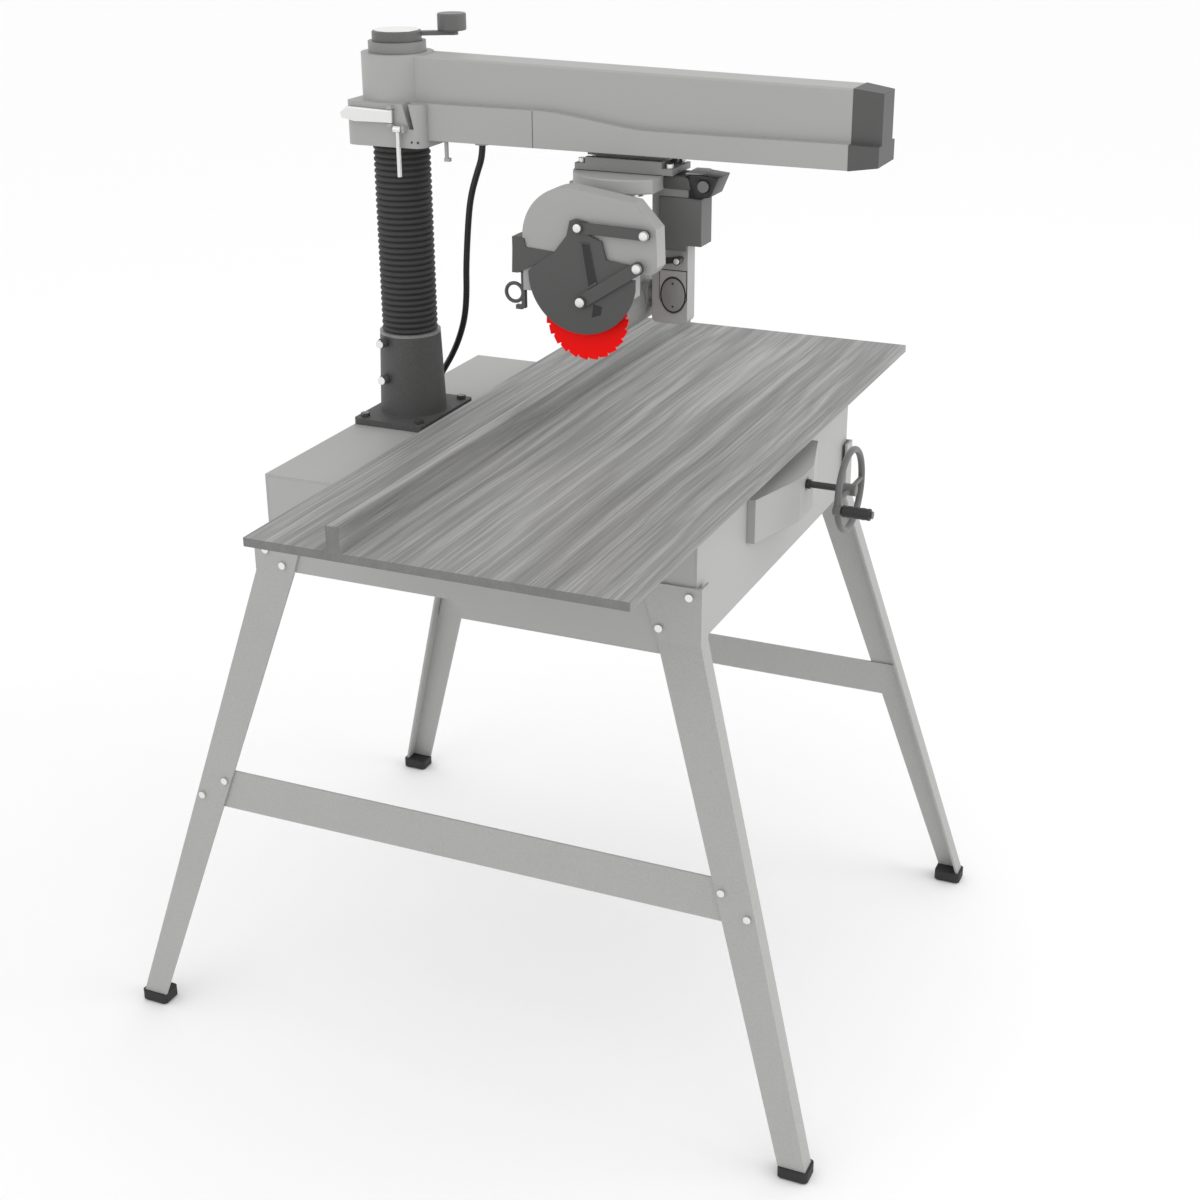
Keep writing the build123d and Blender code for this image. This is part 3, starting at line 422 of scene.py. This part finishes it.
wears = {
    "lightPaint": ["base_deck", "end_panel_left", "end_panel_right", "front_beam", "table_rails",
                   "shaft_bracket", "arm_casting", "yoke", "upper_guard"],
    "legPaint": ["leg_front_left", "leg_front_right", "leg_back_left", "leg_back_right", "end_braces"],
    "darkCasting": ["column_support"],
    "darkGuard": ["lower_guard", "dust_spout", "upper_link", "lower_link", "pawl_rod"],
    "darkPlastic": ["arm_end_cap"],
    "switchPlastic": ["switch_box"],
    "greyCasting": ["column_cap", "wiper_ring", "pivot_cover", "roller_truck", "motor_bells",
                    "motor_housing"],
    "brightSteel": ["stand_bolts", "arm_latch", "arm_clamp", "truck_bolts", "arbor_fittings"],
    "columnBoltSteel": ["column_bolts"],
    "darkSteel": ["cross_shaft", "bevel_lock"],
    "machinedSteel": ["inner_post", "column_sleeve", "elevating_screw", "arm_tracks",
                      "front_rollers", "rear_rollers", "motor_bearings", "rotor"],
    "greyMetal": ["shaft_bearings"],
    "ironStack": ["stator"],
    "blackRubber": ["rubber_feet"],
    "bellowsRubber": ["bellows"],
    "cableSheath": ["cable_lower", "cable_upper"],
    "blackPlastic": ["handwheel_grip", "grip_handle"],
    "buttonGrey": ["switch_button"],
    "wheelMetal": ["handwheel", "top_crank", "crank_knob"],
    "redBlade": ["saw_blade"],
    "frontBoardWood": ["front_board"],
    "fenceWood": ["fence"],
    "rearBoardWood": ["rear_board"],
}


def paint(piece, finish):
    piece.data.materials.clear()
    piece.data.materials.append(finishes[finish])


for finish, nodes in wears.items():
    for node in nodes:
        paint(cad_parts[node], finish)
print("materials placed on", sum(len(nodes) for nodes in wears.values()), "nodes")


# bellows

bellowsShape = {"axisY": 0.263, "low": 1.025, "high": 1.306, "folds": 32, "root": 0.0382, "crest": 0.0424,
                "wall": 0.0010, "sides": 64, "rings": 6, "fullness": 0.8}


def makeBellows(shape):
    pitch = (shape["high"] - shape["low"]) / shape["folds"]
    deselectAll()
    bpy.ops.mesh.primitive_cylinder_add(vertices=shape["sides"], radius=shape["root"], depth=pitch,
                                        end_fill_type="NOTHING",
                                        location=(0, shape["axisY"], shape["low"] + pitch / 2))
    piece = settle(bpy.context.object)
    piece.name = "bellowsSkin"
    rings = shape["rings"]
    for n in range(1, rings):
        editAll(piece)
        bpy.ops.mesh.bisect(plane_co=(0, 0, shape["low"] + pitch * n / rings), plane_no=(0, 0, 1))
        leaveEdit()
    for n in range(1, rings):
        level = shape["low"] + pitch * n / rings
        grow = 1 + (shape["crest"] / shape["root"] - 1) * math.sin(math.pi * n / rings) ** shape["fullness"]
        selectPoints(piece, lambda co: abs(co.z - level) < pitch / rings / 3)
        bpy.ops.transform.resize(value=(grow, grow, 1), center_override=(0, shape["axisY"], level))
        leaveEdit()
    rows = piece.modifiers.new("rows", "ARRAY")
    rows.count = shape["folds"]
    rows.use_relative_offset = False
    rows.use_constant_offset = True
    rows.constant_offset_displace = (0, 0, pitch)
    rows.use_merge_vertices = True
    rows.merge_threshold = 0.0001
    applyAll(piece)
    faceOutwards(piece)
    wall = piece.modifiers.new("wall", "SOLIDIFY")
    wall.thickness = shape["wall"]
    wall.offset = -1
    applyAll(piece)
    smooth(piece, 60)
    paint(piece, "bellowsRubber")
    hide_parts("bellows")
    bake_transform(piece)


makeBellows(bellowsShape)
print("bellows made")


# power cable

cableShape = {
    # routes are in millimetres
    "radius": 0.0048,
    "upper": [(0, 129, 1320), (0, 129, 1297), (4, 142, 1268), (9, 155, 1236), (15, 164, 1200),
              (22, 171, 1162)],
    "lower": [(22, 171, 1162), (29.37, 178.37, 1122), (37, 183, 1080), (46, 192, 1040), (57, 208, 1004),
              (70, 228, 972), (84, 250, 944), (95, 269, 920), (99, 279, 902), (100, 281, 889)],
}


def lineLength(points):
    return sum((b - a).length for a, b in zip(points, points[1:]))


def makeCable(name, node, shape, route):
    deselectAll()
    curve = bpy.data.curves.new(name, "CURVE")
    curve.dimensions = "3D"
    curve.resolution_u = 10
    spline = curve.splines.new("NURBS")
    spline.points.add(len(route) - 1)
    for point, place in zip(spline.points, route):
        point.co = (place[0] / 1000, place[1] / 1000, place[2] / 1000, 1)
    spline.order_u = 3
    spline.use_endpoint_u = True
    piece = bpy.data.objects.new(name, curve)
    bpy.context.scene.collection.objects.link(piece)
    makeActive(piece)
    # the centre line is read before the curve gets its thickness
    bare = piece.evaluated_get(bpy.context.evaluated_depsgraph_get())
    line = [v.co.copy() for v in bare.to_mesh().vertices]
    bare.to_mesh_clear()
    curve.bevel_depth = shape["radius"]
    curve.bevel_resolution = 6
    curve.use_fill_caps = True
    bpy.context.view_layer.update()
    bpy.ops.object.convert(target="MESH")
    piece = bpy.context.object
    smooth(piece, 60)
    paint(piece, "cableSheath")
    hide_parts(node)
    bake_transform(piece)
    return lineLength(line)


upperLength = makeCable("powerCableUpper", "cable_upper", cableShape,
                        cableShape["upper"])
lowerLength = makeCable("powerCableLower", "cable_lower", cableShape,
                        cableShape["lower"])
print("cable made, metres:", round(upperLength + lowerLength, 3))


# bright heads on the guard's four pins

pinShape = {"thick": 0.0018, "proud": 0.0006, "slim": 0.82, "rounding": 0.0008, "rimShare": 0.3,
            "sunk": 0.0004}
pinPlaces = {
    "pinUpperPivot": ("motor", (-0.1839, 1.2334), -0.1455, 0.0072),
    "pinLowerPivot": ("motor", (-0.1735, 1.1881), -0.1455, 0.0072),
    "pinUpperFront": ("guard_link_top", (-0.0852, 1.2361), -0.1430, 0.0072),
    "pinLowerFront": ("blade_guard", (-0.0888, 1.1336), -0.1445, 0.0082),
}


def makePinHead(name, place, face, radius):
    # a low dome with a sunk middle, facing -X
    y, z = place
    piece = addRod(name, (face - pinShape["proud"], y, z), radius * pinShape["slim"],
                   pinShape["thick"], "x", 40)
    roundEdges(piece, pinShape["rounding"])
    selectFaces(piece, lambda side: side.normal.x < -0.98 and side.area > 0.00002)
    bpy.ops.mesh.inset(thickness=radius * pinShape["rimShare"], depth=pinShape["sunk"])
    leaveEdit()
    smooth(piece, 40)
    paint(piece, "pinSteel")
    return piece


for name, (body, place, face, radius) in pinPlaces.items():
    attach(makePinHead(name, place, face, radius), body)
print("pin heads made")


# dark plates on the blade guard: painted shade where the guard's slanted slot and the patch below it lie in
# shadow

guardSlotShade = {"outline": [(-0.0890, 1.2150), (-0.1000, 1.2140), (-0.1110, 1.1640), (-0.0990, 1.1560)],
             "foot": [(-0.1060, 1.1310), (-0.1190, 1.1290), (-0.1170, 1.1170), (-0.1030, 1.1120)],
             "face": -0.1376, "footFace": -0.1364, "back": -0.1355, "rounding": 0.0008}


def makePlate(name, outline, face, back):
    # a flat plate from corner points in (y, z), made by moving a cube's corners
    piece = addBlock(name, (face, -1, 0), (back, 1, 1))
    targets = dict(zip([(1, 1), (-1, 1), (-1, 0), (1, 0)], outline))
    for point in piece.data.vertices:
        key = (1 if point.co.y > 0 else -1, 1 if point.co.z > 0.5 else 0)
        point.co.y, point.co.z = targets[key]
    faceOutwards(piece)
    return piece


# both plates are painted shade, not a colour of the guard
slotShadePlates = [makePlate("guardSlotShade", guardSlotShade["outline"], guardSlotShade["face"], guardSlotShade["back"]),
              makePlate("guardSlotFootShade", guardSlotShade["foot"], guardSlotShade["footFace"], guardSlotShade["back"])]
guardSlotShades = joinPieces("guardSlotShades", slotShadePlates)
roundEdges(guardSlotShades, guardSlotShade["rounding"], 2)
paint(guardSlotShades, "shadowPaint")
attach(guardSlotShades, "blade_guard")
print("guard slots made")


# front handle: a grey switch housing, a black slanted grip and a pale top plate

handleShape = {
    "half": 0.024,
    "housing": [(-0.1632, 1.2742), (-0.1632, 1.2928), (-0.1950, 1.2928), (-0.2010, 1.2885),
                (-0.2075, 1.2742)],
    "grip": [(-0.2064, 1.2627), (-0.2130, 1.2627), (-0.2330, 1.2665), (-0.2447, 1.2938), (-0.2160, 1.2965),
             (-0.2010, 1.2955), (-0.2010, 1.2800)],
    "topPlate": [(-0.1955, 1.2955), (-0.1955, 1.2978), (-0.2150, 1.2979), (-0.2200, 1.2962)],
    "topPlateInset": 0.002,
    "buttonHole": (-0.022, -0.223, 1.281), "holeRadius": 0.0083, "holeDeep": 0.010,
    "housingRounding": 0.0018, "gripRounding": 0.0015, "plateRounding": 0.0006,
}


def makeProfile(name, outline, half):
    # a closed side outline in (y, z) given width along X
    deselectAll()
    bpy.ops.mesh.primitive_circle_add(vertices=len(outline), radius=0.01, fill_type="NGON",
                                      location=(-half, 0, 0), rotation=(0, math.pi / 2, 0))
    piece = settle(bpy.context.object)
    piece.name = name
    for point, (y, z) in zip(piece.data.vertices, outline):
        point.co = (-half, y, z)
    editAll(piece)
    bpy.ops.mesh.extrude_region_move(TRANSFORM_OT_translate={"value": (2 * half, 0, 0)})
    bpy.ops.mesh.select_all(action="SELECT")
    bpy.ops.mesh.normals_make_consistent(inside=False)
    leaveEdit()
    return piece


def makeHandle(shape):
    housing = makeProfile("handleHousing", shape["housing"], shape["half"])
    roundEdges(housing, shape["housingRounding"])
    grip = makeProfile("handleGrip", shape["grip"], shape["half"])
    cutWith(grip, addRod("gripHole", shape["buttonHole"], shape["holeRadius"], shape["holeDeep"], "x", 40))
    roundEdges(grip, shape["gripRounding"])
    topPlate = makeProfile("handleTopPlate", shape["topPlate"], shape["half"] - shape["topPlateInset"])
    roundEdges(topPlate, shape["plateRounding"], 2)
    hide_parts("grip_handle")
    for piece, finish, slotName in ((housing, "darkPlastic", "dark_plastic"),
                                    (grip, "blackPlastic", "dark_plastic"),
                                    (topPlate, "lightPaint", "painted_light")):
        smooth(piece)
        paint(piece, finish)
        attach(piece, "saw_yoke")


makeHandle(handleShape)
print("front handle made")


# round cover on the yoke: a pale U plate with a dark edge and groove, a grey disc and two screws; the dark
# edge is a painted shadow outline just larger than the plate, and the dark groove ring round the disc is
# painted shade

coverShape = {
    "y": -0.176, "z": 1.123, "radius": 0.0175, "tall": 1.35, "grooveShade": 0.0022,
    "plate": [(-0.1955, 1.1575), (-0.1955, 1.1170), (-0.1865, 1.1020), (-0.1760, 1.0970), (-0.1650, 1.1020),
              (-0.1555, 1.1170), (-0.1555, 1.1575)],
    "edge": [(-0.1968, 1.1586), (-0.1968, 1.1166), (-0.1873, 1.1007), (-0.1760, 1.0956), (-0.1642, 1.1007),
             (-0.1542, 1.1166), (-0.1542, 1.1586)],
    "plateX": -0.0149, "edgeShadowX": -0.0143, "grooveShadeX": -0.0156, "discX": -0.0163, "screwX": -0.0171,
    "plateHalf": 0.0007, "edgeShadowHalf": 0.0003, "grooveShadeThick": 0.0008, "discThick": 0.0016,
    "discRounding": 0.0006, "screwOff": 0.0165, "screwRadius": 0.0016, "screwThick": 0.0006,
}


def makeYokeCover(shape):
    y, z, radius = shape["y"], shape["z"], shape["radius"]
    plate = moveTo(makeProfile("coverPlate", shape["plate"], shape["plateHalf"]), (shape["plateX"], 0, 0))
    edge = moveTo(makeProfile("coverEdgeShadow", shape["edge"], shape["edgeShadowHalf"]), (shape["edgeShadowX"], 0, 0))
    grooveShade = addRod("coverGrooveShade", (shape["grooveShadeX"], y, z), radius + shape["grooveShade"], shape["grooveShadeThick"],
                    "x")
    disc = addRod("coverDisc", (shape["discX"], y, z), radius, shape["discThick"], "x")
    for oval in (grooveShade, disc):
        stretchZ(oval, shape["tall"], z)
    roundEdges(disc, shape["discRounding"], 2)
    screws = [addRod("coverScrew", (shape["screwX"], y, z + side * shape["screwOff"]), shape["screwRadius"],
                     shape["screwThick"], "x", 20) for side in (-1, 1)]
    paint(plate, "legPaint")
    paint(disc, "greyCasting")
    # the edge outline and the groove ring are painted shade; the screws share the same dark finish
    for piece in [edge, grooveShade] + screws:
        paint(piece, "shadowPaint")
    cover = joinPieces("yokeCover", [plate, edge, grooveShade, disc] + screws)
    smooth(cover)
    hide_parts("pivot_cover")
    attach(cover, "saw_yoke")


makeYokeCover(coverShape)
print("yoke cover made")


# handwheel: a round rim, a round spoke bar, a boss and the turning grip's stem

wheelShape = {
    "y": -0.444, "z": 0.862, "middle": 0.058, "rim": 0.0049, "barRadius": 0.0035,
    "bossRadius": 0.0088, "bossLong": 0.0198, "bossRounding": 0.0012,
    "lugRadius": 0.0078, "lugLong": 0.0118, "lugRounding": 0.001,
    "stemRadius": 0.0034, "stemLong": 0.0450, "stemMiddle": 0.0285,
    "headRadius": 0.0053, "headLong": 0.0018, "headMiddle": 0.0510,
    "gripTurn": -168, "gripRadius": 0.0088, "gripLong": 0.0416, "gripMiddle": 0.028, "gripRounding": 0.0022,
    "waves": 7, "waveStart": 0.0088, "waveStep": 0.0048, "pinch": 0.93,
}


def makeHandwheel(shape):
    centre = (0, shape["y"], shape["z"])
    deselectAll()
    bpy.ops.mesh.primitive_torus_add(major_segments=72, minor_segments=18, major_radius=shape["middle"],
                                     minor_radius=shape["rim"], location=centre, rotation=(math.pi / 2, 0, 0))
    rim = settle(bpy.context.object)
    bar = addRod("spokeBar", centre, shape["barRadius"], 2 * shape["middle"], "x", 24)
    boss = addRod("boss", centre, shape["bossRadius"], shape["bossLong"], "y", 40)
    roundEdges(boss, shape["bossRounding"])
    turn = math.radians(shape["gripTurn"])
    gx, gz = shape["middle"] * math.cos(turn), shape["z"] + shape["middle"] * math.sin(turn)
    lug = addRod("gripLug", (gx, shape["y"], gz), shape["lugRadius"], shape["lugLong"], "y", 32)
    roundEdges(lug, shape["lugRounding"], 2)
    stem = addRod("gripStem", (gx, shape["y"] - shape["stemMiddle"], gz), shape["stemRadius"],
                  shape["stemLong"], "y", 24)
    head = addRod("gripHead", (gx, shape["y"] - shape["headMiddle"], gz), shape["headRadius"],
                  shape["headLong"], "y", 24)
    wheel = joinPieces("handwheelRound", [rim, bar, boss, lug, stem, head])
    smooth(wheel)
    paint(wheel, "wheelMetal")
    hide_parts("handwheel")
    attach(wheel, "wheel_and_shaft")
    hold = addRod("gripSleeve", (gx, shape["y"] - shape["gripMiddle"], gz), shape["gripRadius"],
                  shape["gripLong"], "y", 40)
    roundEdges(hold, shape["gripRounding"], 4)
    levels = [shape["y"] - shape["waveStart"] - shape["waveStep"] * n for n in range(1, shape["waves"] + 1)]
    for level in levels:
        editAll(hold)
        bpy.ops.mesh.bisect(plane_co=(0, level, 0), plane_no=(0, 1, 0))
        leaveEdit()
    for n, level in enumerate(levels):
        selectPoints(hold, lambda co: abs(co.y - level) < 0.0004)
        pinch = 1.0 if n % 2 else shape["pinch"]
        bpy.ops.transform.resize(value=(pinch, 1, pinch), center_override=(gx, level, gz))
        leaveEdit()
    smooth(hold, 60)
    paint(hold, "blackPlastic")
    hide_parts("handwheel_grip")
    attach(hold, "wheel_grip")


makeHandwheel(wheelShape)
print("handwheel made")


# bright knob on the bevel lock

knobShape = {"centre": (-0.0348, -0.188, 1.176), "radius": 0.0042, "thick": 0.0018, "rounding": 0.0007}
lockKnob = addRod("lockKnob", knobShape["centre"], knobShape["radius"], knobShape["thick"], "x", 32)
roundEdges(lockKnob, knobShape["rounding"])
smooth(lockKnob)
paint(lockKnob, "pinSteel")
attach(lockKnob, "bevel_clamp")
print("lock knob made")


# casting seam and screws on the arm

armTrim = {"seamY": 0.028, "side": 0.042, "low": 1.3205, "high": 1.3712, "seamDeep": 0.0002,
           "seamHalf": 0.0004, "screwFace": -0.0601, "screwRadius": 0.0017, "screwThick": 0.0006,
           "screws": [(0.2120, 1.3190), (0.2020, 1.3190)]}


def makeArmTrim(shape):
    strips = []
    for side in (-1, 1):
        edge = side * shape["side"]
        low = (edge - shape["seamDeep"], shape["seamY"] - shape["seamHalf"], shape["low"])
        high = (edge + shape["seamDeep"], shape["seamY"] + shape["seamHalf"], shape["high"])
        strips.append(addBlock("castingSeam", low, high))
    for y, z in shape["screws"]:
        strips.append(addRod("collarScrew", (shape["screwFace"], y, z), shape["screwRadius"],
                             shape["screwThick"], "x", 20))
    for piece in strips:
        paint(piece, "shadowPaint")
    trim = joinPieces("armTrim", strips)
    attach(trim, "arm")


makeArmTrim(armTrim)
print("arm trim made")


# silver top plate on the crank's dark disc

crankTop = {"y": 0.263, "low": 1.46655, "radius": 0.0325, "thick": 0.0012, "rounding": 0.0005}
capPlate = addRod("crankTopPlate", (0, crankTop["y"], crankTop["low"] + crankTop["thick"] / 2),
                  crankTop["radius"], crankTop["thick"], "z", 64)
roundEdges(capPlate, crankTop["rounding"], 2)
smooth(capPlate)
paint(capPlate, "pinSteel")
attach(capPlate, "crank")
print("crank plate made")


# floor, light and camera

studio = {
    "floor": (0.95, 0.95, 0.95, 1), "floorSize": 60, "floorLevel": -0.0005, "floorRough": 0.9, "sky": 1.03,
    "lampSize": 2.5,
    "keyPlace": (0.6, -4.0, 2.6), "keyTarget": (0, 0, 0.9), "keyPower": 38.0,
    "fillPlace": (-3.5, 1.5, 2.4), "fillTarget": (0, 0, 1.0), "fillPower": 6.0,
}
deselectAll()
bpy.ops.mesh.primitive_plane_add(size=studio["floorSize"], location=(0, 0, studio["floorLevel"]))
floor = bpy.context.object
floor.name = "studioFloor"
floorLook = bpy.data.materials.new("paleFloor")
floorLook.use_nodes = True
floorShader = floorLook.node_tree.nodes["Principled BSDF"]
floorShader.inputs["Base Color"].default_value = studio["floor"]
floorShader.inputs["Roughness"].default_value = studio["floorRough"]
floor.data.materials.append(floorLook)

world = bpy.data.worlds.new("studioWorld")
world.use_nodes = True
world.node_tree.nodes["Background"].inputs["Color"].default_value = (1, 1, 1, 1)
world.node_tree.nodes["Background"].inputs["Strength"].default_value = studio["sky"]
bpy.context.scene.world = world


def areaLight(name, place, target, size, power):
    lamp = bpy.data.lights.new(name, "AREA")
    lamp.size = size
    lamp.energy = power
    lampObject = bpy.data.objects.new(name, lamp)
    bpy.context.scene.collection.objects.link(lampObject)
    lampObject.location = place
    lampObject.rotation_euler = (Vector(target) - Vector(place)).to_track_quat("-Z", "Y").to_euler()


areaLight("keyLight", studio["keyPlace"], studio["keyTarget"], studio["lampSize"], studio["keyPower"])
areaLight("fillLight", studio["fillPlace"], studio["fillTarget"], studio["lampSize"], studio["fillPower"])

cameraView = {"azimuth": -65.99, "elevation": 23.27, "roll": -0.40, "place": (-2.4824, -1.1579, 1.7931),
              "lens": 57.07}


def placeCamera(look):
    azimuth, elevation, roll = (math.radians(look[k]) for k in ("azimuth", "elevation", "roll"))
    back = Vector((math.sin(azimuth) * math.cos(elevation), -math.cos(azimuth) * math.cos(elevation),
                   math.sin(elevation)))
    right = (-back).cross(Vector((0, 0, 1))).normalized()
    up = right.cross(-back).normalized()
    c, s = math.cos(roll), math.sin(roll)
    sideways, upright = c * right + s * up, -s * right + c * up
    camera = bpy.data.cameras.new("mainCamera")
    camera.lens = look["lens"]
    camera.sensor_width = 36
    cameraObject = bpy.data.objects.new("mainCamera", camera)
    bpy.context.scene.collection.objects.link(cameraObject)
    turn = Matrix((sideways, upright, back)).transposed().to_4x4()
    cameraObject.matrix_world = Matrix.Translation(look["place"]) @ turn
    bpy.context.scene.camera = cameraObject


placeCamera(cameraView)
bpy.context.scene.view_settings.view_transform = "Standard"
print("floor, light and camera placed")
